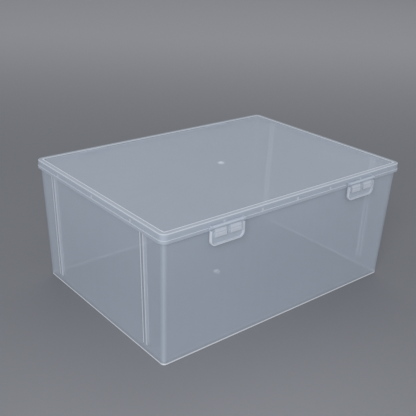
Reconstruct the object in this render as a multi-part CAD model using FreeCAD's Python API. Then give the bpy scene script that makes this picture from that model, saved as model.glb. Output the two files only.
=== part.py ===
import FreeCAD
import Part
import math
import os

# A moulded storage box with a hinged lid and two snap latches on its front.
# Millimetres and degrees. The origin is on the base plane, in the middle of the tub.
# +Z is up, the latches face -Y and the lid's hinges are at +Y.

# Whole box
LID_LENGTH = 345.0
LID_WIDTH = 249.0
BOX_HEIGHT = 148.0

# Tub
TUB_WALL = 2.0
TUB_FLOOR = 2.2
DRAFT_ANGLE = 1.7
INNER_CORNER_RADIUS = 2.5
BASE_EDGE_RADIUS = 1.0
FLOOR_EDGE_RADIUS = 2.0
RIM_EDGE_RADIUS = 0.5

# Raised beads on the two end walls
WALL_BEAD_INSET = 36.5
WALL_BEAD_WIDTH = 7.5
WALL_BEAD_PROUD = 1.2
WALL_BEAD_SLOPE = 0.8
WALL_BEAD_FOOT = 11.5
WALL_BEAD_TOP_GAP = 0.8
WALL_BEAD_GROOVE_SHARE = 0.55

# Lid
LID_PANEL = 2.0
SKIRT_WALL = 2.0
SKIRT_DEPTH = 9.8
SEAT_GAP = 0.2
TOP_EDGE_RADIUS = 1.0
STACK_RECESS = 1.0
STACK_CLEARANCE = 0.3

# Bead round the skirt's lower edge
SKIRT_BEAD_HEIGHT = 3.4
SKIRT_BEAD_PROUD = 0.5
SKIRT_BEAD_EDGE_RADIUS = 0.3

# Small upright ribs inside the skirt
SKIRT_RIB_WIDTH = 2.0
SKIRT_RIB_PROUD = 0.4
SKIRT_RIB_CLEARANCE = 0.3
SKIRT_RIB_PITCH_LONG = 50.0
SKIRT_RIB_PITCH_SHORT = 72.0

# Gate marks in the middle of the floor and of the lid's underside
GATE_DISH_RADIUS = 4.2
GATE_DISH_DEPTH = 0.5
GATE_NUB_RADIUS = 2.0
GATE_NUB_HEIGHT = 0.4

# Lid hinges, one near each end of the back wall
HINGE_INSET = 75.0
HINGE_PIN_RADIUS = 1.5
KNUCKLE_WALL = 1.85
KNUCKLE_LENGTH = 24.0
EAR_THICKNESS = 5.0
EAR_FOOT_DROP = 13.0
EAR_GAP = 0.6
LID_OPEN_ANGLE = 110.0
STOP_GAP = 0.3
STOP_HEEL_LENGTH = 3.0

# Latch flaps on the front
LATCH_INSET = 74.3
LATCH_AXIS_RISE = 0.3
LATCH_PIN_RADIUS = 1.0
BARREL_WALL = 1.05
BARREL_LENGTH = 38.6
BARREL_GAP = 0.5
LUG_THICKNESS = 2.5
FLAP_WIDTH = 42.6
FLAP_DROP = 19.0
FLAP_WALL = 1.8
FLAP_STANDOFF = 1.8
FLAP_CORNER_RADIUS = 6.0
FLAP_SHOULDER_GAP = 0.5
FLAP_RIM_WIDTH = 1.9
FLAP_RIM_PROUD = 0.8
FLAP_EDGE_RADIUS = 0.3

# Snap blocks on each flap, with a catch of the tub behind each block
BLOCK_LENGTH = 14.0
BLOCK_SPACING = 19.0
BLOCK_SLOPE_HEIGHT = 3.85
BLOCK_LIP_HEIGHT = 4.3
BLOCK_LIP_PROUD = 1.7
BLOCK_GROOVE_HEIGHT = 0.7
BLOCK_SLOPE_PROUD = 1.3
BLOCK_GROOVE_PROUD = 0.6
BLOCK_POCKET_WALL = 1.4
WEB_TOP_WIDTH = 4.6
WEB_FOOT_WIDTH = 1.8
WEB_PROUD = 1.0
CATCH_HEIGHT = 6.0
CATCH_LIP_HEIGHT = 1.5
CATCH_GAP = 0.3

# Fits
AXIAL_GAP = 0.4
RUNNING_GAP = 0.05
PRESSED_GAP = 0.01
PIN_CHAMFER = 0.3
OVERRUN = 5.0
SAME_PLACE = 0.0001

# Levels, from the base up
PANEL_Z = BOX_HEIGHT - STACK_RECESS
UNDERSIDE_Z = PANEL_Z - LID_PANEL
RIM_Z = UNDERSIDE_Z - SEAT_GAP
SKIRT_END_Z = BOX_HEIGHT - SKIRT_DEPTH
SKIRT_BEAD_TOP_Z = SKIRT_END_Z + SKIRT_BEAD_HEIGHT

# Room between skirt and tub, and corner radii, worked outwards from the tub's inside
SKIRT_GAP = SKIRT_RIB_PROUD + SKIRT_RIB_CLEARANCE
TUB_CORNER_RADIUS = INNER_CORNER_RADIUS + TUB_WALL
SKIRT_INNER_RADIUS = TUB_CORNER_RADIUS + SKIRT_GAP
LID_CORNER_RADIUS = SKIRT_INNER_RADIUS + SKIRT_WALL

# Hinge line at the back
HINGE_X = LID_LENGTH / 2 - HINGE_INSET
KNUCKLE_RADIUS = HINGE_PIN_RADIUS + RUNNING_GAP + KNUCKLE_WALL
BACK_Y = LID_WIDTH / 2
HINGE_Y = BACK_Y + SKIRT_BEAD_PROUD + EAR_GAP + KNUCKLE_RADIUS
HINGE_Z = SKIRT_END_Z + SKIRT_BEAD_HEIGHT / 2

# Latch line at the front
LATCH_X = LID_LENGTH / 2 - LATCH_INSET
BARREL_RADIUS = LATCH_PIN_RADIUS + RUNNING_GAP + BARREL_WALL
FRONT_Y = -LID_WIDTH / 2
LATCH_Y = FRONT_Y - BARREL_GAP - BARREL_RADIUS
LATCH_Z = SKIRT_BEAD_TOP_Z + LATCH_AXIS_RISE
LUG_OFFSET = BARREL_LENGTH / 2 + AXIAL_GAP + LUG_THICKNESS / 2
LATCH_PIN_LENGTH = 2 * LUG_OFFSET + LUG_THICKNESS
FLAP_BACK_Y = FRONT_Y - FLAP_STANDOFF
FLAP_FIELD_Y = FLAP_BACK_Y - FLAP_WALL
FLAP_FOOT_Z = LATCH_Z - FLAP_DROP
FLAP_SHOULDER_Z = LATCH_Z - BARREL_RADIUS - FLAP_SHOULDER_GAP
BLOCK_TOP_Z = LATCH_Z - BARREL_RADIUS / 2
BLOCK_FOOT_Z = BLOCK_TOP_Z - BLOCK_SLOPE_HEIGHT - BLOCK_GROOVE_HEIGHT - BLOCK_LIP_HEIGHT

X_AXIS = FreeCAD.Vector(1, 0, 0)
Z_AXIS = FreeCAD.Vector(0, 0, 1)
UP = 1
DOWN = -1
SIDES = {"left": -1, "right": 1}


def rounded_rectangle(length, width, radius, height):
    """Level outline with round corners, centred on the Z axis."""
    inner_x = length / 2 - radius
    inner_y = width / 2 - radius
    centres = [(inner_x, inner_y), (-inner_x, inner_y), (-inner_x, -inner_y), (inner_x, -inner_y)]
    quarter_turn = 90
    arcs = []
    for turn, (x, y) in enumerate(centres):
        centre = FreeCAD.Vector(x, y, height)
        start = turn * quarter_turn
        arcs.append(Part.makeCircle(radius, centre, Z_AXIS, start, start + quarter_turn))
    edges = []
    for arc, following in zip(arcs, arcs[1:] + arcs[:1]):
        side = Part.makeLine(arc.lastVertex().Point, following.firstVertex().Point)
        edges += [arc, side]
    return Part.Wire(edges)


def slab(length, width, radius, low_z, high_z):
    """Upright block with round corners."""
    outline = rounded_rectangle(length, width, radius, low_z)
    return Part.Face(outline).extrude(FreeCAD.Vector(0, 0, high_z - low_z))


def block(low_x, high_x, low_y, high_y, low_z, high_z):
    corner = FreeCAD.Vector(low_x, low_y, low_z)
    return Part.makeBox(high_x - low_x, high_y - low_y, high_z - low_z, corner)


def x_cylinder(radius, length, middle_x, y, z):
    """Cylinder along X, given by the middle of its axis."""
    return Part.makeCylinder(radius, length, FreeCAD.Vector(middle_x - length / 2, y, z), X_AXIS)


def x_prism(profile, middle_x, length):
    """Prism along X over a closed profile of (y, z) points."""
    start_x = middle_x - length / 2
    points = [FreeCAD.Vector(start_x, y, z) for y, z in profile]
    outline = Part.makePolygon(points + points[:1])
    return Part.Face(outline).extrude(FreeCAD.Vector(length, 0, 0))


def level_edges(solid, height):
    """Edges of a solid that lie level at one height."""
    found = []
    for edge in solid.Edges:
        if all(abs(vertex.Z - height) < SAME_PLACE for vertex in edge.Vertexes):
            found.append(edge)
    return found


def upright_edges_at(solid, y):
    """Edges of a solid that lie in one upright plane across the box's width."""
    found = []
    for edge in solid.Edges:
        if all(abs(vertex.Y - y) < SAME_PLACE for vertex in edge.Vertexes):
            found.append(edge)
    return found


def fuse_all(base, pieces):
    return base.multiFuse(pieces).removeSplitter()


def draft_in(height):
    """How far the drafted tub walls stand inside the rim at a height."""
    return (RIM_Z - height) * math.tan(math.radians(DRAFT_ANGLE))


def tub_half_length(height):
    return LID_LENGTH / 2 - SKIRT_WALL - SKIRT_GAP - draft_in(height)


def tub_half_width(height):
    return LID_WIDTH / 2 - SKIRT_WALL - SKIRT_GAP - draft_in(height)


def tub_outline(height, inset, radius):
    length = 2 * (tub_half_length(height) - inset)
    width = 2 * (tub_half_width(height) - inset)
    return rounded_rectangle(length, width, radius, height)


def drafted_body(low_z, high_z, inset, radius, foot_radius):
    """Drafted block between two levels, with its lower edge rounded."""
    outlines = [tub_outline(low_z, inset, radius), tub_outline(high_z, inset, radius)]
    body = Part.makeLoft(outlines, True, True)
    return body.makeFillet(foot_radius, level_edges(body, low_z))


def gate_dish(surface_z, outwards):
    """Round hollow in a level surface that faces up or down."""
    bottom = FreeCAD.Vector(0, 0, surface_z - outwards * GATE_DISH_DEPTH)
    return Part.makeCylinder(GATE_DISH_RADIUS, GATE_DISH_DEPTH + OVERRUN, bottom, outwards * Z_AXIS)


def gate_nub(surface_z, outwards):
    """Stub left by the gate, which stays below the surface round its dish."""
    bottom = FreeCAD.Vector(0, 0, surface_z - outwards * GATE_DISH_DEPTH)
    return Part.makeCylinder(GATE_NUB_RADIUS, GATE_NUB_HEIGHT, bottom, outwards * Z_AXIS)


def wall_bead(side, middle_y, inset, low_z, high_z, width_share):
    """Upright bead on an end wall, shifted inwards by an inset."""
    outlines = []
    for height in (low_z, high_z):
        wall_x = tub_half_length(height) - inset
        foot = width_share * WALL_BEAD_WIDTH / 2
        crown = width_share * (WALL_BEAD_WIDTH / 2 - WALL_BEAD_SLOPE)
        profile = [
            (wall_x - TUB_WALL / 2, foot),
            (wall_x, foot),
            (wall_x + WALL_BEAD_PROUD, crown),
            (wall_x + WALL_BEAD_PROUD, -crown),
            (wall_x, -foot),
            (wall_x - TUB_WALL / 2, -foot),
        ]
        points = [FreeCAD.Vector(side * x, middle_y + y, height) for x, y in profile]
        outlines.append(Part.makePolygon(points + points[:1]))
    return Part.makeLoft(outlines, True, True)


def wall_beads(inset, end_margin, width_share):
    low_z = WALL_BEAD_FOOT + end_margin
    high_z = SKIRT_END_Z - WALL_BEAD_TOP_GAP - end_margin
    bead_y = LID_WIDTH / 2 - WALL_BEAD_INSET
    return [
        wall_bead(side, y, inset, low_z, high_z, width_share)
        for side in SIDES.values()
        for y in (-bead_y, bead_y)
    ]


def catch(middle_x):
    """Wedge on the tub's front wall, behind one snap block."""
    root_y = -tub_half_width(BLOCK_FOOT_Z) + TUB_WALL / 2
    tip_y = FLAP_BACK_Y + CATCH_GAP
    profile = [
        (root_y, BLOCK_FOOT_Z),
        (tip_y, BLOCK_FOOT_Z),
        (tip_y, BLOCK_FOOT_Z + CATCH_LIP_HEIGHT),
        (root_y, BLOCK_FOOT_Z + CATCH_HEIGHT),
    ]
    return x_prism(profile, middle_x, BLOCK_LENGTH)


def block_places(latch_x):
    return [latch_x - BLOCK_SPACING / 2, latch_x + BLOCK_SPACING / 2]


def ear_places(hinge_x):
    offset = KNUCKLE_LENGTH / 2 + AXIAL_GAP + EAR_THICKNESS / 2
    return [hinge_x - offset, hinge_x + offset]


def hinge_ear(middle_x):
    """Gusseted ear on the tub's back wall, with a round head on the hinge line."""
    top_z = SKIRT_END_Z - EAR_GAP
    foot_z = SKIRT_END_Z - EAR_FOOT_DROP
    root_y = tub_half_width(foot_z) - TUB_WALL / 2
    cheek = KNUCKLE_RADIUS / math.sqrt(2)
    profile = [
        (root_y, top_z),
        (HINGE_Y, top_z),
        (HINGE_Y + cheek, HINGE_Z - cheek),
        (root_y, foot_z),
    ]
    gusset = x_prism(profile, middle_x, EAR_THICKNESS)
    head = x_cylinder(KNUCKLE_RADIUS, EAR_THICKNESS, middle_x, HINGE_Y, HINGE_Z)
    bore = x_cylinder(HINGE_PIN_RADIUS + PRESSED_GAP, EAR_THICKNESS, middle_x, HINGE_Y, HINGE_Z)
    return head.fuse(gusset).cut(bore)


def make_tub():
    outside = drafted_body(0, RIM_Z, 0, TUB_CORNER_RADIUS, BASE_EDGE_RADIUS)
    outside = outside.makeFillet(RIM_EDGE_RADIUS, level_edges(outside, RIM_Z))
    inside = drafted_body(TUB_FLOOR, RIM_Z + OVERRUN, TUB_WALL, INNER_CORNER_RADIUS, FLOOR_EDGE_RADIUS)
    details = wall_beads(0, 0, 1)
    for side in SIDES.values():
        details += [catch(x) for x in block_places(side * LATCH_X)]
        details += [hinge_ear(x) for x in ear_places(side * HINGE_X)]
    grooves = wall_beads(TUB_WALL, TUB_WALL, WALL_BEAD_GROOVE_SHARE)
    tub = fuse_all(outside, details)
    tub = tub.cut([inside] + grooves)
    tub = tub.cut(gate_dish(TUB_FLOOR, UP)).fuse(gate_nub(TUB_FLOOR, UP))
    return tub.removeSplitter()


def lid_shell():
    """Panel, raised border and skirt, without what stands on them."""
    shell = slab(LID_LENGTH, LID_WIDTH, LID_CORNER_RADIUS, SKIRT_END_Z, BOX_HEIGHT)
    shell = shell.makeFillet(TOP_EDGE_RADIUS, level_edges(shell, BOX_HEIGHT))
    hollow = slab(
        LID_LENGTH - 2 * SKIRT_WALL, LID_WIDTH - 2 * SKIRT_WALL, SKIRT_INNER_RADIUS,
        SKIRT_END_Z - OVERRUN, UNDERSIDE_Z)
    return shell.cut(hollow).cut(stack_recess())


def stack_recess():
    """Shallow recess in the lid's top with sloped sides, which takes the base of another box."""
    outlines = []
    for height, spread in ((PANEL_Z, 0), (BOX_HEIGHT + STACK_RECESS, 2 * STACK_RECESS)):
        clearance = STACK_CLEARANCE + spread
        length = 2 * (tub_half_length(0) + clearance)
        width = 2 * (tub_half_width(0) + clearance)
        outlines.append(rounded_rectangle(length, width, TUB_CORNER_RADIUS + clearance, height))
    return Part.makeLoft(outlines, True, True)


def skirt_bead():
    """Round-edged bead along the skirt's lower edge, left out where the latches hang."""
    bead = slab(
        LID_LENGTH + 2 * SKIRT_BEAD_PROUD, LID_WIDTH + 2 * SKIRT_BEAD_PROUD,
        LID_CORNER_RADIUS + SKIRT_BEAD_PROUD, SKIRT_END_Z, SKIRT_BEAD_TOP_Z)
    rims = level_edges(bead, SKIRT_END_Z) + level_edges(bead, SKIRT_BEAD_TOP_Z)
    bead = bead.makeFillet(SKIRT_BEAD_EDGE_RADIUS, rims)
    core = slab(
        LID_LENGTH - SKIRT_WALL, LID_WIDTH - SKIRT_WALL, LID_CORNER_RADIUS - SKIRT_WALL / 2,
        SKIRT_END_Z - OVERRUN, BOX_HEIGHT)
    latch_gaps = []
    for side in SIDES.values():
        low_x = side * LATCH_X - LATCH_PIN_LENGTH / 2
        high_x = side * LATCH_X + LATCH_PIN_LENGTH / 2
        low_y = FRONT_Y - SKIRT_BEAD_PROUD - OVERRUN
        latch_gaps.append(block(low_x, high_x, low_y, FRONT_Y + SKIRT_WALL, SKIRT_END_Z, BOX_HEIGHT))
    return bead.cut([core] + latch_gaps)


def rib_places(half_side, pitch):
    """Evenly spaced places along a side, from its middle, short of the round corners."""
    count = int((half_side - LID_CORNER_RADIUS - SKIRT_RIB_WIDTH) // pitch)
    return [step * pitch for step in range(-count, count + 1)]


def skirt_ribs():
    low_z = SKIRT_BEAD_TOP_Z
    face_x = LID_LENGTH / 2 - SKIRT_WALL
    face_y = LID_WIDTH / 2 - SKIRT_WALL
    half_rib = SKIRT_RIB_WIDTH / 2
    root = SKIRT_WALL / 2
    ribs = []
    for side in SIDES.values():
        for x in rib_places(LID_LENGTH / 2, SKIRT_RIB_PITCH_LONG):
            low_y, high_y = sorted((side * (face_y - SKIRT_RIB_PROUD), side * (face_y + root)))
            ribs.append(block(x - half_rib, x + half_rib, low_y, high_y, low_z, UNDERSIDE_Z))
        for y in rib_places(LID_WIDTH / 2, SKIRT_RIB_PITCH_SHORT):
            low_x, high_x = sorted((side * (face_x - SKIRT_RIB_PROUD), side * (face_x + root)))
            ribs.append(block(low_x, high_x, y - half_rib, y + half_rib, low_z, UNDERSIDE_Z))
    return ribs


def turned_back(y, z):
    """Where a point of the open lid, measured from the hinge line, lies when the lid is closed."""
    angle = math.radians(LID_OPEN_ANGLE)
    closed_y = y * math.cos(angle) - z * math.sin(angle)
    closed_z = y * math.sin(angle) + z * math.cos(angle)
    return (HINGE_Y + closed_y, HINGE_Z + closed_z)


def hinge_knuckle(middle_x):
    """Barrel on the lid's back edge, with a heel that meets the tub's wall when the lid is open."""
    barrel = x_cylinder(KNUCKLE_RADIUS, KNUCKLE_LENGTH, middle_x, HINGE_Y, HINGE_Z)
    half_length = KNUCKLE_LENGTH / 2
    web = block(
        middle_x - half_length, middle_x + half_length,
        BACK_Y - SKIRT_WALL / 2, HINGE_Y, SKIRT_END_Z, SKIRT_BEAD_TOP_Z)
    reach = HINGE_Y - tub_half_width(HINGE_Z) - STOP_GAP
    profile = [turned_back(0, 0), turned_back(-reach, 0), turned_back(-reach, -STOP_HEEL_LENGTH)]
    heel = x_prism(profile, middle_x, KNUCKLE_LENGTH)
    return fuse_all(barrel, [web, heel])


def knuckle_bore(middle_x):
    radius = HINGE_PIN_RADIUS + RUNNING_GAP
    return x_cylinder(radius, KNUCKLE_LENGTH + AXIAL_GAP, middle_x, HINGE_Y, HINGE_Z)


def latch_lug(middle_x):
    """Lug on the lid's front skirt that holds one end of a latch pin."""
    head = x_cylinder(BARREL_RADIUS, LUG_THICKNESS, middle_x, LATCH_Y, LATCH_Z)
    half_thickness = LUG_THICKNESS / 2
    web = block(
        middle_x - half_thickness, middle_x + half_thickness, LATCH_Y, FRONT_Y + SKIRT_WALL / 2,
        LATCH_Z - BARREL_RADIUS, LATCH_Z + BARREL_RADIUS)
    bore = x_cylinder(LATCH_PIN_RADIUS + PRESSED_GAP, LUG_THICKNESS, middle_x, LATCH_Y, LATCH_Z)
    return head.fuse(web).cut(bore)


def make_lid():
    details = [skirt_bead()] + skirt_ribs()
    bores = []
    for side in SIDES.values():
        details.append(hinge_knuckle(side * HINGE_X))
        bores.append(knuckle_bore(side * HINGE_X))
        details += [latch_lug(side * LATCH_X + end * LUG_OFFSET) for end in SIDES.values()]
    lid = fuse_all(lid_shell(), details).cut(bores)
    lid = lid.cut(gate_dish(UNDERSIDE_Z, DOWN)).fuse(gate_nub(UNDERSIDE_Z, DOWN))
    return lid.removeSplitter()


def flap_plate(latch_x, inset, back_y, front_y, top_z):
    """Upright plate with its two lower corners rounded, between two planes."""
    half_width = FLAP_WIDTH / 2 - inset
    foot_z = FLAP_FOOT_Z + inset
    radius = FLAP_CORNER_RADIUS - inset
    diagonal = radius * (1 - 1 / math.sqrt(2))

    def at(x, z):
        return FreeCAD.Vector(latch_x + x, back_y, z)

    left_arc = Part.Arc(
        at(-half_width, foot_z + radius),
        at(-half_width + diagonal, foot_z + diagonal),
        at(-half_width + radius, foot_z)).toShape()
    right_arc = Part.Arc(
        at(half_width - radius, foot_z),
        at(half_width - diagonal, foot_z + diagonal),
        at(half_width, foot_z + radius)).toShape()
    edges = [
        Part.makeLine(at(-half_width, top_z), at(-half_width, foot_z + radius)),
        left_arc,
        Part.makeLine(at(-half_width + radius, foot_z), at(half_width - radius, foot_z)),
        right_arc,
        Part.makeLine(at(half_width, foot_z + radius), at(half_width, top_z)),
        Part.makeLine(at(half_width, top_z), at(-half_width, top_z)),
    ]
    return Part.Face(Part.Wire(edges)).extrude(FreeCAD.Vector(0, front_y - back_y, 0))


def flap_rim(latch_x):
    """Raised rim along the flap's sides and foot."""
    rim_y = FLAP_FIELD_Y - FLAP_RIM_PROUD
    outer = flap_plate(latch_x, 0, FLAP_BACK_Y, rim_y, FLAP_SHOULDER_Z)
    outer = outer.makeFillet(FLAP_EDGE_RADIUS, upright_edges_at(outer, rim_y))
    field = flap_plate(latch_x, FLAP_RIM_WIDTH, FLAP_FIELD_Y, rim_y - OVERRUN, LATCH_Z)
    return outer.cut(field)


def snap_block(middle_x):
    """Block that slopes out from the barrel, with a groove above its thick lip."""
    lip_y = FLAP_FIELD_Y - BLOCK_LIP_PROUD
    lip_top_z = BLOCK_FOOT_Z + BLOCK_LIP_HEIGHT
    slope_foot_z = lip_top_z + BLOCK_GROOVE_HEIGHT
    root_y = FLAP_FIELD_Y + FLAP_WALL / 2
    profile = [
        (root_y, BLOCK_FOOT_Z),
        (lip_y, BLOCK_FOOT_Z),
        (lip_y, lip_top_z),
        (FLAP_FIELD_Y - BLOCK_GROOVE_PROUD, lip_top_z),
        (FLAP_FIELD_Y - BLOCK_GROOVE_PROUD, slope_foot_z),
        (FLAP_FIELD_Y - BLOCK_SLOPE_PROUD, slope_foot_z),
        (LATCH_Y - BARREL_RADIUS / 2, BLOCK_TOP_Z),
        (root_y, BLOCK_TOP_Z),
    ]
    body = x_prism(profile, middle_x, BLOCK_LENGTH)
    return body.makeFillet(FLAP_EDGE_RADIUS, upright_edges_at(body, lip_y))


def block_pocket(middle_x):
    """Hollow in the back of a snap block."""
    half_length = BLOCK_LENGTH / 2 - BLOCK_POCKET_WALL
    depth_y = FLAP_FIELD_Y - BLOCK_LIP_PROUD + BLOCK_POCKET_WALL
    low_z = BLOCK_FOOT_Z + BLOCK_POCKET_WALL
    high_z = BLOCK_FOOT_Z + BLOCK_LIP_HEIGHT
    return block(
        middle_x - half_length, middle_x + half_length,
        depth_y, FLAP_BACK_Y + OVERRUN, low_z, high_z)


def block_web(latch_x):
    """Tapered web between the two snap blocks."""
    face_y = FLAP_FIELD_Y - WEB_PROUD
    root_y = FLAP_FIELD_Y + FLAP_WALL / 2
    top_z = FLAP_SHOULDER_Z
    outline = [
        (-WEB_TOP_WIDTH / 2, top_z),
        (-WEB_FOOT_WIDTH / 2, BLOCK_FOOT_Z),
        (WEB_FOOT_WIDTH / 2, BLOCK_FOOT_Z),
        (WEB_TOP_WIDTH / 2, top_z),
    ]
    points = [FreeCAD.Vector(latch_x + x, root_y, z) for x, z in outline]
    face = Part.Face(Part.makePolygon(points + points[:1]))
    return face.extrude(FreeCAD.Vector(0, face_y - root_y, 0))


def make_flap(latch_x):
    barrel = x_cylinder(BARREL_RADIUS, BARREL_LENGTH, latch_x, LATCH_Y, LATCH_Z)
    half_barrel = BARREL_LENGTH / 2
    neck = block(
        latch_x - half_barrel, latch_x + half_barrel, FLAP_FIELD_Y, FLAP_BACK_Y,
        FLAP_SHOULDER_Z, LATCH_Z)
    blocks = [snap_block(x) for x in block_places(latch_x)]
    flap = fuse_all(flap_rim(latch_x), [barrel, neck, block_web(latch_x)] + blocks)
    bore_radius = LATCH_PIN_RADIUS + RUNNING_GAP
    bore = x_cylinder(bore_radius, BARREL_LENGTH + AXIAL_GAP, latch_x, LATCH_Y, LATCH_Z)
    return flap.cut([bore] + [block_pocket(x) for x in block_places(latch_x)])


def make_pin(radius, length, middle_x, y, z):
    """Plain rod with chamfered ends."""
    rod = x_cylinder(radius, length, middle_x, y, z)
    ends = [edge for edge in rod.Edges if edge.Closed]
    return rod.makeChamfer(PIN_CHAMFER, ends)


def make_latch_pin(latch_x):
    return make_pin(LATCH_PIN_RADIUS, LATCH_PIN_LENGTH, latch_x, LATCH_Y, LATCH_Z)


def make_hinge_pin(hinge_x):
    length = KNUCKLE_LENGTH + 2 * (AXIAL_GAP + EAR_THICKNESS)
    return make_pin(HINGE_PIN_RADIUS, length, hinge_x, HINGE_Y, HINGE_Z)


def make_box():
    nodes = {"tub": make_tub(), "lid": make_lid()}
    for name, side in SIDES.items():
        nodes["latch_flap_" + name] = make_flap(side * LATCH_X)
        nodes["latch_pin_" + name] = make_latch_pin(side * LATCH_X)
        nodes["hinge_pin_" + name] = make_hinge_pin(side * HINGE_X)
    return nodes


os.makedirs("parts", exist_ok=True)
for node, shape in make_box().items():
    solid_count = len(shape.Solids)
    print(node, "solids", solid_count, "valid", shape.isValid(), "volume", round(shape.Volume, 1))
    shape.exportStep("parts/" + node + ".step")
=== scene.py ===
import math

import bpy
from bpy.props import FloatProperty, FloatVectorProperty, PointerProperty
from mathutils import Matrix, Vector

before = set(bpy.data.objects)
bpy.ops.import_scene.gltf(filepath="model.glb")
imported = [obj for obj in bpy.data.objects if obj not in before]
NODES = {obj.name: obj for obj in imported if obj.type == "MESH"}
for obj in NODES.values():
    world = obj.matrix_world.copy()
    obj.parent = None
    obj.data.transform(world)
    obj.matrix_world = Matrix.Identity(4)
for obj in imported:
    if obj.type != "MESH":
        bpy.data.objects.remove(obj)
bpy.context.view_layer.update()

bl_info = {
    "name": "Latch Box",
    "version": (1, 0, 0),
    "blender": (4, 5, 0),
    "location": "View3D > Sidebar > Latch Box",
    "description": "Finishes a translucent storage box with a hinged lid and two latch flaps",
    "category": "Object",
}

FLAPS = ("latch_flap_left", "latch_flap_right")
PINS = ("latch_pin_left", "latch_pin_right", "hinge_pin_left", "hinge_pin_right")

# Numbers of the Mix node's colour sockets
MIX_FIRST = 6
MIX_SECOND = 7
MIX_RESULT = 2

# Camera
IMAGE_SIDE = 416.0
SENSOR_WIDTH = 36.0
CLIP_START = 0.01

# Lamps and the light from all sides
KEY_PLACE = (1.8, 1.6, 3.5)
KEY_AIM = (0.0, 0.0, 0.1)
KEY_SIZE = (3.4, 2.6)
KEY_COLOUR = (1.0, 0.99, 0.97)
FILL_PLACE = (-2.10, -2.04, 1.66)
FILL_AIM = (0.0, 0.0, 0.08)
FILL_SIZE = (2.1, 1.8)
FILL_COLOUR = (0.97, 0.985, 1.0)
SKY_COLOUR = (0.93, 0.96, 1.0, 1.0)
SHINY_RAYS = ("Is Glossy Ray", "Is Transmission Ray")

# Paper floor with painted light: it gets paler away from the camera, and a painted pool of light lies in
# front of the box
FLOOR_TOP = -0.0002
FLOOR_DEPTH = (0.639, 0.769)
FLOOR_LIGHT_FADE = (0.3, 1.8)
LIGHT_POOL_AHEAD = 0.35
LIGHT_POOL_FADE = (LIGHT_POOL_AHEAD + 0.1, 0.0)
LIGHT_POOL_SHARE = 0.45
GRAIN_SCALE = 900.0
GRAIN_DETAIL = 3.0
GRAIN_SHARE = 0.1
PAPER_ROUGHNESS = 0.9
PAPER_GLOSS = 0.1

# Moulded plastic
PLASTIC_IOR = 1.49
BUMP_STRENGTH = 0.35
BUMP_DISTANCE = 1.0
BOX_MIDDLE = 0.07
INNER_FADE = (0.01, -0.01)
INNER_SHARE = 0.5
CLOUD_SCALE = 13.0
CLOUD_DETAIL = 3.0
WAVE_SCALE = 90.0
PIT_SCALE = 1400.0
NOISE_MIDDLE = 0.5
FLOW_SPREAD = 26.0
FLOW_STRETCH = 3.0
FLOW_DETAIL = 4.0
FLOW_ROUGHNESS = 0.6
SCRATCH_DIRECTIONS = (0.35, 2.1)
SCRATCH_ACROSS = 2600.0
SCRATCH_ALONG = 16.0
SCRATCH_SPREAD = 5.0
SCRATCH_DETAIL = 1.0
SCRATCH_FADE = (0.72, 0.80)
SCRATCH_PATCH_SCALE = 21.0
SCRATCH_PATCH_FADE = (0.45, 0.7)
ACROSS_SLANT = (0.7, 0.6)
ALONG_SLANT = (0.3, 0.5)
GATE_RADIUS = 0.0042
GATE_FADE = (GATE_RADIUS + 0.0004, GATE_RADIUS - 0.0004)
LIP_FADE = (0.1, 0.9)
WHITE_FADE = (-0.1, 1.0)
# Weights of each mark: painted highlights with the gate scar, thicker plastic with painted light and shade,
# scratches, clouds and flow lines
WHITENING = {"painted_highlights_and_gate": 0.85, "haze_and_painted_light": 0.3, "scored": 0.03, "cloud": 0.06, "flow": 0.03}
HIDING = {"painted_highlights_and_gate": 0.5, "haze_and_painted_light": 0.3, "scored": 0.02, "cloud": 0.03, "flow": 0.02}
DULLING = {"cloud": 0.08, "pits": 0.08, "scored": 0.15}
RELIEF = {"wave": 0.00003, "pits": 0.000004, "flow": 0.00001, "scored": -0.00001}

# Tub: where its painted highlight lines, thick places, painted light and painted shade are, and how strong
# they are
WALL_BEAD_PLACE = 0.088
WALL_BEAD_HALF = 0.00375
WALL_BEAD_CROWN = 0.00265
WALL_BEAD_FOOT = 0.0115
BEAD_FADE = (WALL_BEAD_HALF + 0.0012, WALL_BEAD_HALF + 0.0007)
BEAD_FOOT_FADE = (WALL_BEAD_FOOT - 0.0005, WALL_BEAD_FOOT + 0.0005)
BEAD_FLANK_FADE = (0.2, 0.9)
BEAD_CROWN_FADE = (0.0009, 0.0005)
BEAD_FACING = (0.9, 0.97)
END_WALL = (0.150, 0.155)
UPRIGHT = (0.97, 0.85)
CORNER_FADE = (0.8, 1.0)
RIM_LEVEL = (0.138, 0.141)
FLOOR_SHADE_LEVEL = (0.004, 0.003)
FOOT_LINE = (0.0028, 0.0018)
FOOT_LIGHT_BAND = (0.009, 0.003)
UPPER_WALL_LIGHT = (0.07, 0.145)
LOWER_WALL_LIGHT = (0.06, 0.0)
TUB_PAINTED_HIGHLIGHTS_AND_GATE = {
    "bead_flank": 0.1, "bead_crown": 1.1, "foot_line": 1.0, "corner": 0.06, "rim": 0.5, "gate": 2.0,
}
TUB_HAZE_AND_PAINTED_LIGHT = {
    "turn": 0.05, "lip": 0.2, "floor": -0.2, "foot_band_painted_light": 0.25, "upper_wall_painted_light": 0.15, "lower_wall_painted_light": 0.1,
    "bead_groove": 0.5,
}

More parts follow.
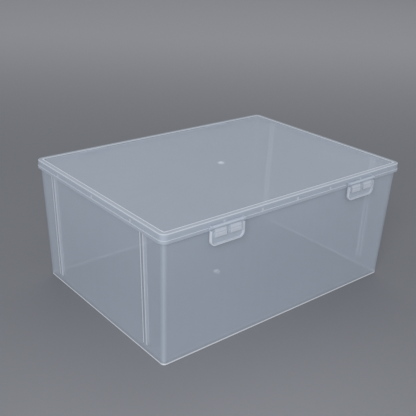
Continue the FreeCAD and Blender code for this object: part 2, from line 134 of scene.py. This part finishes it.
# Lid
LID_HALF_LENGTH = 0.1725
LID_HALF_WIDTH = 0.1245
LID_CORNER = 0.0072
BORDER_LINE = 0.0054
BORDER_FADE = (0.0010, 0.0004)
BORDER_LEVEL = (0.1478, 0.1479)
BORDER_BAND = (-0.010, -0.004)
TOP_EDGE = (-0.0020, -0.0012)
TOP_LEVEL = (0.1464, 0.1467)
UNDERSIDE_LEVEL = (0.1466, 0.1462)
SKIRT_TOP = 0.1450
SKIRT_LEVEL = (SKIRT_TOP, SKIRT_TOP - 0.0005)
SKIRT_REACH = (0.0010, 0.0007)
SKIRT_BEAD_TOP = 0.1416
RIB_PITCH_LONG = 0.050
RIB_PITCH_SHORT = 0.072
RIB_HALF = 0.0012
RIB_FADE = (RIB_HALF + 0.0003, RIB_HALF)
RIB_REACH = (0.125, 0.130)
RIB_FACING = (0.7, 0.9)
RIB_LEVEL = (SKIRT_BEAD_TOP - 0.0003, SKIRT_BEAD_TOP + 0.0003)
# Strength of the lid's painted highlight lines and of its pale gate scar
LID_PAINTED_HIGHLIGHTS_AND_GATE = {"border": 0.7, "top_edge": 0.4, "skirt_edge": 0.8, "rib": 0.35, "gate": 1.2}
LID_THICKNESS = {"skirt": 0.5, "border_band": 0.55}

# Latch flaps
LATCH_PLACE = 0.0982
FLAP_HALF = 0.0213
FLAP_FOOT = 0.1229
FLAP_CORNER = 0.006
FLAP_RIM = 0.0019
FLAP_SHOULDER = 0.1393
RIM_FADE = (-FLAP_RIM - 0.0003, -FLAP_RIM + 0.0003)
RIM_EDGE = (-0.0012, -0.0006)
PLATE_LEVEL = (FLAP_SHOULDER + 0.0003, FLAP_SHOULDER - 0.0003)
BLOCK_PLACE = 0.0095
BLOCK_HALF = 0.007
BLOCK_FOOT = 0.1320
BLOCK_TOP = 0.14085
BLOCK_LIP_TOP = 0.1363
BLOCK_FADE = (BLOCK_HALF + 0.0003, BLOCK_HALF - 0.0003)
BLOCK_TOP_LEVEL = (BLOCK_TOP + 0.0003, BLOCK_TOP - 0.0003)
BLOCK_FOOT_LEVEL = (BLOCK_FOOT - 0.0003, BLOCK_FOOT)
BLOCK_LIP_LEVEL = (BLOCK_LIP_TOP, BLOCK_LIP_TOP - 0.0003)
# Strength of the flaps' painted highlights on the rim and its rounded edges, and of the painted light over
# the catch blocks
FLAP_PAINTED_HIGHLIGHTS = {"rim": 0.08, "rim_edge": 0.7, "block": 0.32, "block_lip": 0.2, "lip": 0.15}


class LatchBoxPlastic(bpy.types.PropertyGroup):
    """Colours and clarity of the moulded polypropylene."""

    body_colour: FloatVectorProperty(
        name="Body colour", description="Colour of the haze in the clear plastic", subtype="COLOR",
        size=3, min=0.0, max=1.0, default=(0.48, 0.537, 0.623))
    # Colour that painted highlights along edges turn to; thicker and scratched plastic turn towards it too
    highlight_and_haze_colour: FloatVectorProperty(
        name="Edge colour", description="Colour where rounded edges gather light", subtype="COLOR",
        size=3, min=0.0, max=1.0, default=(0.76, 0.785, 0.83))
    flap_colour: FloatVectorProperty(
        name="Flap colour", description="Colour of the haze in the latch flaps", subtype="COLOR",
        size=3, min=0.0, max=1.0, default=(0.55, 0.605, 0.69))
    pin_colour: FloatVectorProperty(
        name="Pin colour", description="Colour of the milky hinge and latch rods", subtype="COLOR",
        size=3, min=0.0, max=1.0, default=(0.62, 0.67, 0.73))
    tub_opacity: FloatProperty(
        name="Tub opacity", description="How much one outer skin of the tub hides", subtype="FACTOR",
        min=0.0, max=1.0, default=0.43)
    lid_opacity: FloatProperty(
        name="Lid opacity", description="How much one outer skin of the lid hides", subtype="FACTOR",
        min=0.0, max=1.0, default=0.425)
    flap_opacity: FloatProperty(
        name="Flap opacity", description="How much one outer skin of a latch flap hides", subtype="FACTOR",
        min=0.0, max=1.0, default=0.5)
    pin_opacity: FloatProperty(
        name="Pin opacity", description="How much one outer skin of a rod hides", subtype="FACTOR",
        min=0.0, max=1.0, default=0.8)
    roughness: FloatProperty(
        name="Roughness", description="Roughness of the polished mould faces", subtype="FACTOR",
        min=0.0, max=1.0, default=0.36)


class LatchBoxStage(bpy.types.PropertyGroup):
    """The floor, the lamps and the camera."""

    floor_colour: FloatVectorProperty(
        name="Floor colour", description="Colour of the paper under the box", subtype="COLOR",
        size=3, min=0.0, max=1.0, default=(0.195, 0.20, 0.215))
    # Colour of the painted light on the paper, away from the camera and in the pool in front of the box
    painted_light_colour: FloatVectorProperty(
        name="Far colour", description="Colour of the paper away from the box", subtype="COLOR",
        size=3, min=0.0, max=1.0, default=(0.36, 0.362, 0.385))
    backdrop_colour: FloatVectorProperty(
        name="Backdrop colour", description="Grey that shows beyond the paper", subtype="COLOR",
        size=3, min=0.0, max=1.0, default=(0.255, 0.26, 0.272))
    floor_side: FloatProperty(
        name="Floor side", description="Length of each side of the floor", unit="LENGTH",
        min=1.0, default=14.0)
    key_power: FloatProperty(
        name="Key power", description="Power of the soft lamp high behind the box", unit="POWER",
        min=0.0, default=34.0)
    fill_power: FloatProperty(
        name="Fill power", description="Power of the soft lamp at the front left", unit="POWER",
        min=0.0, default=82.0)
    sky_strength: FloatProperty(
        name="Sky strength", description="Strength of the even light from all sides", min=0.0, default=0.44)
    azimuth: FloatProperty(
        name="Azimuth", description="Turn of the camera round the box", subtype="ANGLE",
        default=math.radians(-39.72))
    elevation: FloatProperty(
        name="Elevation", description="Height angle of the camera", subtype="ANGLE",
        default=math.radians(23.42))
    roll: FloatProperty(
        name="Roll", description="Tilt of the camera about its own line of sight", subtype="ANGLE",
        default=math.radians(1.97))
    distance: FloatProperty(
        name="Distance", description="Distance from the base to the camera", unit="LENGTH", default=0.8563)
    slide_right: FloatProperty(
        name="Slide right", description="Sideways shift of the camera", unit="LENGTH", default=-0.0107)
    slide_up: FloatProperty(
        name="Slide up", description="Upward shift of the camera", unit="LENGTH", default=0.0806)
    focal_pixels: FloatProperty(
        name="Focal length", description="Focal length in pixels of the square picture", default=685.6)


class Signal:
    """One output socket. Arithmetic on it adds Math nodes."""

    def __init__(self, nodes, socket):
        self.nodes = nodes
        self.socket = socket

    def math(self, operation, *terms):
        return self.nodes.node("ShaderNodeMath", {"operation": operation}, dict(enumerate(terms)))

    def __add__(self, other):
        return self.math("ADD", self, other)

    __radd__ = __add__

    def __sub__(self, other):
        return self.math("SUBTRACT", self, other)

    def __rsub__(self, other):
        return self.math("SUBTRACT", other, self)

    def __mul__(self, other):
        return self.math("MULTIPLY", self, other)

    __rmul__ = __mul__

    def __truediv__(self, other):
        return self.math("DIVIDE", self, other)

    def __rtruediv__(self, other):
        return self.math("DIVIDE", other, self)

    def __abs__(self):
        return self.math("ABSOLUTE", self)

    def root(self):
        return self.math("SQRT", self)

    def at_least(self, other):
        return self.math("MAXIMUM", self, other)

    def at_most(self, other):
        return self.math("MINIMUM", self, other)

    def from_nearest(self, pitch):
        """Distance from the nearest of a row of places at one pitch."""
        count = self / pitch
        return abs(self - pitch * count.math("ROUND", count))

    def smooth(self, start, end):
        """0 at the start and before it, 1 at the end and past it, with a soft step between them."""
        return self.nodes.node("ShaderNodeMapRange", {"interpolation_type": "SMOOTHSTEP"},
                               {"Value": self, "From Min": start, "From Max": end})


class Nodes:
    """The nodes of a material or of the world."""

    def __init__(self, owner):
        owner.use_nodes = True
        self.tree = owner.node_tree
        self.tree.nodes.clear()

    def node(self, kind, settings=None, sockets=None, output=0):
        """Adds a node: first its settings, then the values or links of its sockets."""
        made = self.tree.nodes.new(kind)
        for key, value in (settings or {}).items():
            setattr(made, key, value)
        for key, value in (sockets or {}).items():
            if isinstance(value, Signal):
                self.tree.links.new(value.socket, made.inputs[key])
            else:
                made.inputs[key].default_value = value
        return Signal(self, made.outputs[output]) if made.outputs else None


class Finish(Nodes):
    """A material and the nodes that make it."""

    def __init__(self, name):
        self.material = bpy.data.materials.new(name)
        super().__init__(self.material)

    def place(self):
        return self.node("ShaderNodeTexCoord", output="Object")

    def facing(self):
        """The three parts of the face's direction in the box's own frame."""
        return self.parts(self.node("ShaderNodeTexCoord", output="Normal"))

    def parts(self, vector):
        split = self.node("ShaderNodeSeparateXYZ", sockets={0: vector}).socket.node
        return [Signal(self, socket) for socket in split.outputs]

    def vector(self, x, y, z):
        return self.node("ShaderNodeCombineXYZ", sockets={"X": x, "Y": y, "Z": z})

    def noise(self, vector, scale, detail=2.0, roughness=0.5):
        return self.node("ShaderNodeTexNoise", sockets={
            "Vector": vector, "Scale": scale, "Detail": detail, "Roughness": roughness})

    def blend(self, factor, first, second):
        """A colour between two colours."""
        return self.node("ShaderNodeMix", {"data_type": "RGBA"},
                         {"Factor": factor, MIX_FIRST: first, MIX_SECOND: second}, output=MIX_RESULT)

    def shade(self, sockets):
        """The surface's shader, wired to the output."""
        shader = self.node("ShaderNodeBsdfPrincipled", sockets=sockets)
        self.node("ShaderNodeOutputMaterial", sockets={"Surface": shader})
        return self.material


def opaque(colour):
    return (colour[0], colour[1], colour[2], 1.0)


def weigh(weights, signals):
    """Adds signals up, each by its own weight."""
    total = 0.0
    for name, weight in weights.items():
        total = weight * signals[name] + total
    return total


class Moulding(Finish):
    """Natural polypropylene with clouds, flow lines from its gate and fine scratches."""

    def __init__(self, name):
        super().__init__(name)
        self.spot = self.place()
        self.x, self.y, self.z = self.parts(self.spot)
        self.nx, self.ny, self.nz = self.facing()
        self.radius = (self.x * self.x + self.y * self.y).root()
        # Masks of rounded edges and of upright corners, where highlights are painted and the plastic counts
        # as thicker
        self.lip = 2.0 * abs(self.nz) * (1.0 - self.nz * self.nz).root()
        self.turn = 2.0 * abs(self.nx * self.ny)
        outwards = self.nx * self.x + self.ny * self.y + self.nz * (self.z - BOX_MIDDLE)
        self.inner = outwards.smooth(*INNER_FADE)
        self.skin = 1.0 - (1.0 - INNER_SHARE) * self.inner

    def scratches(self):
        """Fine lines in two directions, slanted so that they cross upright walls too."""
        across_x = self.x + ACROSS_SLANT[0] * self.z
        across_y = self.y - ACROSS_SLANT[1] * self.z
        along_y = self.y + ALONG_SLANT[0] * self.z
        along_x = self.x - ALONG_SLANT[1] * self.z
        total = 0.0
        for turned in SCRATCH_DIRECTIONS:
            across = across_x * math.cos(turned) + across_y * math.sin(turned)
            along = along_y * math.cos(turned) - along_x * math.sin(turned)
            streak = self.vector(across * SCRATCH_ACROSS, along * SCRATCH_ALONG, turned * SCRATCH_SPREAD)
            total = self.noise(streak, 1.0, SCRATCH_DETAIL).smooth(*SCRATCH_FADE) + total
        return total * self.noise(self.spot, SCRATCH_PATCH_SCALE).smooth(*SCRATCH_PATCH_FADE)

    def flow(self):
        """Faint streaks that spread from the gate over the flat and run up the walls."""
        angle = self.y.math("ARCTAN2", self.y, self.x)
        reach = self.radius + self.z
        streak = self.vector(angle * FLOW_SPREAD, reach * FLOW_STRETCH, 0.0)
        return self.noise(streak, 1.0, FLOW_DETAIL, FLOW_ROUGHNESS)

    def gate_mark(self):
        """The small round scar where the plastic entered the mould."""
        return self.radius.smooth(*GATE_FADE)

    def outline(self, out_x, out_y, radius):
        """Distance from a rounded outline, below zero inside it."""
        corner_x = out_x.at_least(0.0)
        corner_y = out_y.at_least(0.0)
        inside = out_x.at_least(out_y).at_most(0.0)
        return (corner_x * corner_x + corner_y * corner_y).root() + inside - radius

    def plastic(self, values, opacity, colour, painted_highlights_and_gate=0.0, haze_and_painted_light=0.0):
        """The shader: painted highlights along edges and the pale gate scar turn the colour white, and
        thicker plastic with painted light turns it paler; both hide more of what is behind.
        """
        signs = {
            "painted_highlights_and_gate": painted_highlights_and_gate,
            "haze_and_painted_light": haze_and_painted_light,
            "cloud": self.noise(self.spot, CLOUD_SCALE, CLOUD_DETAIL) - NOISE_MIDDLE,
            "flow": self.flow() - NOISE_MIDDLE,
            "wave": self.noise(self.spot, WAVE_SCALE),
            "pits": self.noise(self.spot, PIT_SCALE),
            "scored": self.scratches(),
        }
        white = weigh(WHITENING, signs).smooth(*WHITE_FADE)
        relief = self.node("ShaderNodeBump", sockets={
            "Strength": BUMP_STRENGTH, "Distance": BUMP_DISTANCE, "Height": weigh(RELIEF, signs)})
        return self.shade({
            "Base Color": self.blend(white, opaque(colour), opaque(values.highlight_and_haze_colour)),
            "Roughness": values.roughness + weigh(DULLING, signs),
            "Alpha": opacity * self.skin + weigh(HIDING, signs),
            "Normal": relief,
            "IOR": PLASTIC_IOR,
        })


def tub_finish(values):
    clear = Moulding("tub_clear")
    from_bead = abs(abs(clear.y) - WALL_BEAD_PLACE)
    on_bead = from_bead.smooth(*BEAD_FADE) * abs(clear.x).smooth(*END_WALL)
    on_bead = on_bead * clear.z.smooth(*BEAD_FOOT_FADE)
    crown = abs(from_bead - WALL_BEAD_CROWN).smooth(*BEAD_CROWN_FADE) * abs(clear.nx).smooth(*BEAD_FACING)
    upright = abs(clear.nz).smooth(*UPRIGHT)
    # Painted highlight lines on the wall beads, along the foot, at the upright corners and on the rim, and
    # the pale gate scar
    painted_highlights_and_gate = weigh(TUB_PAINTED_HIGHLIGHTS_AND_GATE, {
        "bead_flank": on_bead * clear.turn.smooth(*BEAD_FLANK_FADE),
        "bead_crown": on_bead * crown,
        "foot_line": clear.z.smooth(*FOOT_LINE) * upright,
        "corner": clear.turn.smooth(*CORNER_FADE),
        "rim": clear.lip.smooth(*LIP_FADE) * clear.z.smooth(*RIM_LEVEL),
        "gate": clear.gate_mark(),
    })
    # Thicker plastic at corners, rounded edges and behind the beads; painted light towards the top of the
    # tub, on the lower walls and in the band above the foot; painted shade on the floor
    haze_and_painted_light = weigh(TUB_HAZE_AND_PAINTED_LIGHT, {
        "turn": clear.turn,
        "lip": clear.lip,
        "floor": (1.0 - upright) * clear.z.smooth(*FLOOR_SHADE_LEVEL),
        "foot_band_painted_light": clear.z.smooth(*FOOT_LIGHT_BAND) * upright * (1.0 - clear.inner),
        "upper_wall_painted_light": clear.z.smooth(*UPPER_WALL_LIGHT),
        "lower_wall_painted_light": clear.z.smooth(*LOWER_WALL_LIGHT) * upright,
        "bead_groove": on_bead * clear.inner,
    })
    return clear.plastic(values, values.tub_opacity, values.body_colour, painted_highlights_and_gate, haze_and_painted_light)


def lid_finish(values):
    clear = Moulding("lid_clear")
    out_x = abs(clear.x) - (LID_HALF_LENGTH - LID_CORNER)
    out_y = abs(clear.y) - (LID_HALF_WIDTH - LID_CORNER)
    outline = clear.outline(out_x, out_y, LID_CORNER)
    lip = clear.lip.smooth(*LIP_FADE)
    below_top = clear.z.smooth(*SKIRT_LEVEL)
    skirt = below_top * outline.smooth(*SKIRT_REACH)
    from_rib_x = clear.x.from_nearest(RIB_PITCH_LONG) + abs(clear.x).smooth(*RIB_REACH)
    from_rib_y = clear.y.from_nearest(RIB_PITCH_SHORT)
    long_rib = from_rib_x.smooth(*RIB_FADE) * abs(clear.ny).smooth(*RIB_FACING)
    short_rib = from_rib_y.smooth(*RIB_FADE) * abs(clear.nx).smooth(*RIB_FACING)
    # Painted highlight lines along the border, the rounded top edge, the skirt's edge and the skirt ribs,
    # and the pale gate scar under the lid
    painted_highlights_and_gate = weigh(LID_PAINTED_HIGHLIGHTS_AND_GATE, {
        "border": abs(outline + BORDER_LINE).smooth(*BORDER_FADE) * clear.z.smooth(*BORDER_LEVEL),
        "top_edge": lip * outline.smooth(*TOP_EDGE) * clear.z.smooth(*TOP_LEVEL),
        "skirt_edge": lip * skirt,
        "rib": (long_rib + short_rib) * below_top * clear.z.smooth(*RIB_LEVEL),
        "gate": clear.gate_mark() * clear.z.smooth(*UNDERSIDE_LEVEL),
    })
    haze_and_painted_light = weigh(LID_THICKNESS, {
        "skirt": skirt,
        "border_band": outline.smooth(*BORDER_BAND) * (1.0 - skirt),
    })
    return clear.plastic(values, values.lid_opacity, values.body_colour, painted_highlights_and_gate, haze_and_painted_light)


def flap_finish(values):
    clear = Moulding("flap_clear")
    across = abs(abs(clear.x) - LATCH_PLACE)
    out_x = across - (FLAP_HALF - FLAP_CORNER)
    out_z = (FLAP_FOOT + FLAP_CORNER) - clear.z
    outline = clear.outline(out_x, out_z, FLAP_CORNER)
    plate = clear.z.smooth(*PLATE_LEVEL)
    on_block = abs(across - BLOCK_PLACE).smooth(*BLOCK_FADE)
    on_block = on_block * clear.z.smooth(*BLOCK_TOP_LEVEL) * clear.z.smooth(*BLOCK_FOOT_LEVEL)
    # Painted highlights along the flap's rim and rounded edges, and painted light over the catch blocks and
    # their lower lips
    painted_highlights_and_gate = weigh(FLAP_PAINTED_HIGHLIGHTS, {
        "rim": outline.smooth(*RIM_FADE) * plate,
        "rim_edge": outline.smooth(*RIM_EDGE) * plate,
        "block": on_block,
        "block_lip": on_block * clear.z.smooth(*BLOCK_LIP_LEVEL),
        "lip": clear.lip * plate,
    })
    return clear.plastic(values, values.flap_opacity, values.flap_colour, painted_highlights_and_gate)


def pin_finish(values):
    return Moulding("pin_milky").plastic(values, values.pin_opacity, values.pin_colour)


def dress(names, material):
    """Gives CAD nodes their finish."""
    for name in names:
        if name not in NODES:
            raise RuntimeError(f"the packed box has no piece named {name}")
        slots = NODES[name].data.materials
        slots.clear()
        slots.append(material)


class LATCHBOX_OT_finish_tub(bpy.types.Operator):
    """Gives the tub its clear moulded finish"""

    bl_idname = "latch_box.finish_tub"
    bl_label = "Finish Tub"

    def execute(self, context):
        dress(["tub"], tub_finish(context.scene.latch_box_plastic))
        return {"FINISHED"}


class LATCHBOX_OT_finish_lid(bpy.types.Operator):
    """Gives the lid its clear moulded finish"""

    bl_idname = "latch_box.finish_lid"
    bl_label = "Finish Lid"

    def execute(self, context):
        dress(["lid"], lid_finish(context.scene.latch_box_plastic))
        return {"FINISHED"}


class LATCHBOX_OT_finish_flaps(bpy.types.Operator):
    """Gives both latch flaps their finish"""

    bl_idname = "latch_box.finish_flaps"
    bl_label = "Finish Latch Flaps"

    def execute(self, context):
        dress(FLAPS, flap_finish(context.scene.latch_box_plastic))
        return {"FINISHED"}


class LATCHBOX_OT_finish_pins(bpy.types.Operator):
    """Gives the hinge and latch rods their milky finish"""

    bl_idname = "latch_box.finish_pins"
    bl_label = "Finish Pins"

    def execute(self, context):
        dress(PINS, pin_finish(context.scene.latch_box_plastic))
        return {"FINISHED"}


def paper_finish(stage):
    """Matt grey paper with painted light: paler away from the camera, and a painted pool of light in front
    of the box.
    """
    paper = Finish("paper")
    spot = paper.place()
    x, y, _ = paper.parts(spot)
    depth = FLOOR_DEPTH[0] * x + FLOOR_DEPTH[1] * y
    side = FLOOR_DEPTH[1] * x - FLOOR_DEPTH[0] * y
    pool_ahead = depth + LIGHT_POOL_AHEAD
    from_light_pool = (pool_ahead * pool_ahead + side * side).root()
    grain = paper.noise(spot, GRAIN_SCALE, GRAIN_DETAIL) - NOISE_MIDDLE
    # Painted light: paler with depth away from the camera and in the pool in front of the box, plus the
    # paper's own grain
    painted_light_share = depth.smooth(*FLOOR_LIGHT_FADE) + LIGHT_POOL_SHARE * from_light_pool.smooth(*LIGHT_POOL_FADE) + GRAIN_SHARE * grain
    return paper.shade({
        "Base Color": paper.blend(painted_light_share, opaque(stage.floor_colour), opaque(stage.painted_light_colour)),
        "Roughness": PAPER_ROUGHNESS,
        "Specular IOR Level": PAPER_GLOSS,
    })


def paper_floor(stage):
    """One square sheet under the box."""
    half = stage.floor_side / 2.0
    corners = [(-half, -half), (half, -half), (half, half), (-half, half)]
    sheet = bpy.data.meshes.new("paper_floor")
    sheet.from_pydata([(x, y, FLOOR_TOP) for x, y in corners], [], [(0, 1, 2, 3)])
    sheet.materials.append(paper_finish(stage))
    floor = bpy.data.objects.new("paper_floor", sheet)
    bpy.context.scene.collection.objects.link(floor)
    return floor


def soft_lamp(name, place, aim, power, size, colour):
    """A soft box lamp that faces a point."""
    lamp = bpy.data.lights.new(name, "AREA")
    lamp.shape = "RECTANGLE"
    lamp.size, lamp.size_y = size
    lamp.energy = power
    lamp.color = colour
    holder = bpy.data.objects.new(name, lamp)
    holder.location = place
    holder.rotation_euler = (Vector(aim) - Vector(place)).to_track_quat("-Z", "Y").to_euler()
    bpy.context.scene.collection.objects.link(holder)


def even_light(stage):
    """Pale light from all sides. Where it is seen or mirrored, the backdrop's grey shows instead."""
    world = bpy.data.worlds.new("even_light")
    sky = Nodes(world)
    light = sky.node("ShaderNodeBackground", sockets={
        "Color": SKY_COLOUR, "Strength": stage.sky_strength})
    shown = sky.node("ShaderNodeBackground", sockets={"Color": opaque(stage.backdrop_colour)})
    seen = sky.node("ShaderNodeLightPath", output="Is Camera Ray")
    rays = seen.socket.node.outputs
    for name in SHINY_RAYS:
        seen = seen.at_least(Signal(sky, rays[name]))
    choice = sky.node("ShaderNodeMixShader", sockets={0: seen, 1: light, 2: shown})
    sky.node("ShaderNodeOutputWorld", sockets={"Surface": choice})
    return world


def photo_camera(stage):
    """The camera at the photograph's angle, as a square picture sees it."""
    back = Vector((
        math.sin(stage.azimuth) * math.cos(stage.elevation),
        -math.cos(stage.azimuth) * math.cos(stage.elevation),
        math.sin(stage.elevation),
    ))
    level_right = (-back).cross(Vector((0.0, 0.0, 1.0))).normalized()
    level_up = level_right.cross(-back)
    right = math.cos(stage.roll) * level_right + math.sin(stage.roll) * level_up
    up = math.cos(stage.roll) * level_up - math.sin(stage.roll) * level_right
    spot = back * stage.distance + right * stage.slide_right + up * stage.slide_up
    camera = bpy.data.cameras.new("photo_camera")
    camera.sensor_fit = "HORIZONTAL"
    camera.sensor_width = SENSOR_WIDTH
    camera.lens = stage.focal_pixels / IMAGE_SIDE * SENSOR_WIDTH
    camera.clip_start = CLIP_START
    holder = bpy.data.objects.new("photo_camera", camera)
    holder.matrix_world = Matrix((
        (right.x, up.x, back.x, spot.x),
        (right.y, up.y, back.y, spot.y),
        (right.z, up.z, back.z, spot.z),
        (0.0, 0.0, 0.0, 1.0),
    ))
    bpy.context.scene.collection.objects.link(holder)
    bpy.context.scene.camera = holder


class LATCHBOX_OT_build_stage(bpy.types.Operator):
    """Lays the floor, hangs the lamps and sets the camera"""

    bl_idname = "latch_box.build_stage"
    bl_label = "Build Stage"

    def execute(self, context):
        stage = context.scene.latch_box_stage
        floor = paper_floor(stage)
        soft_lamp("key_lamp", KEY_PLACE, KEY_AIM, stage.key_power, KEY_SIZE, KEY_COLOUR)
        soft_lamp("fill_lamp", FILL_PLACE, FILL_AIM, stage.fill_power, FILL_SIZE, FILL_COLOUR)
        context.scene.world = even_light(stage)
        photo_camera(stage)
        context.scene.view_settings.view_transform = "Standard"
        return {"FINISHED"}


OPERATORS = (
    LATCHBOX_OT_finish_tub,
    LATCHBOX_OT_finish_lid,
    LATCHBOX_OT_finish_flaps,
    LATCHBOX_OT_finish_pins,
    LATCHBOX_OT_build_stage,
)


class VIEW3D_PT_latch_box(bpy.types.Panel):
    """Lists the steps and the values of the latch box"""

    bl_label = "Latch Box"
    bl_space_type = "VIEW_3D"
    bl_region_type = "UI"
    bl_category = "Latch Box"

    def draw(self, context):
        layout = self.layout
        for operator in OPERATORS:
            layout.operator(operator.bl_idname)
        for group in (context.scene.latch_box_plastic, context.scene.latch_box_stage):
            values = layout.box()
            for key in group.bl_rna.properties.keys():
                if key not in ("rna_type", "name"):
                    values.prop(group, key)


CLASSES = (LatchBoxPlastic, LatchBoxStage, *OPERATORS, VIEW3D_PT_latch_box)


def register():
    for item in CLASSES:
        bpy.utils.register_class(item)
    bpy.types.Scene.latch_box_plastic = PointerProperty(type=LatchBoxPlastic)
    bpy.types.Scene.latch_box_stage = PointerProperty(type=LatchBoxStage)


def unregister():
    del bpy.types.Scene.latch_box_stage
    del bpy.types.Scene.latch_box_plastic
    for item in reversed(CLASSES):
        bpy.utils.unregister_class(item)


def main():
    register()
    bpy.ops.latch_box.finish_tub()
    bpy.ops.latch_box.finish_lid()
    bpy.ops.latch_box.finish_flaps()
    bpy.ops.latch_box.finish_pins()
    bpy.ops.latch_box.build_stage()


if __name__ == "__main__":
    main()
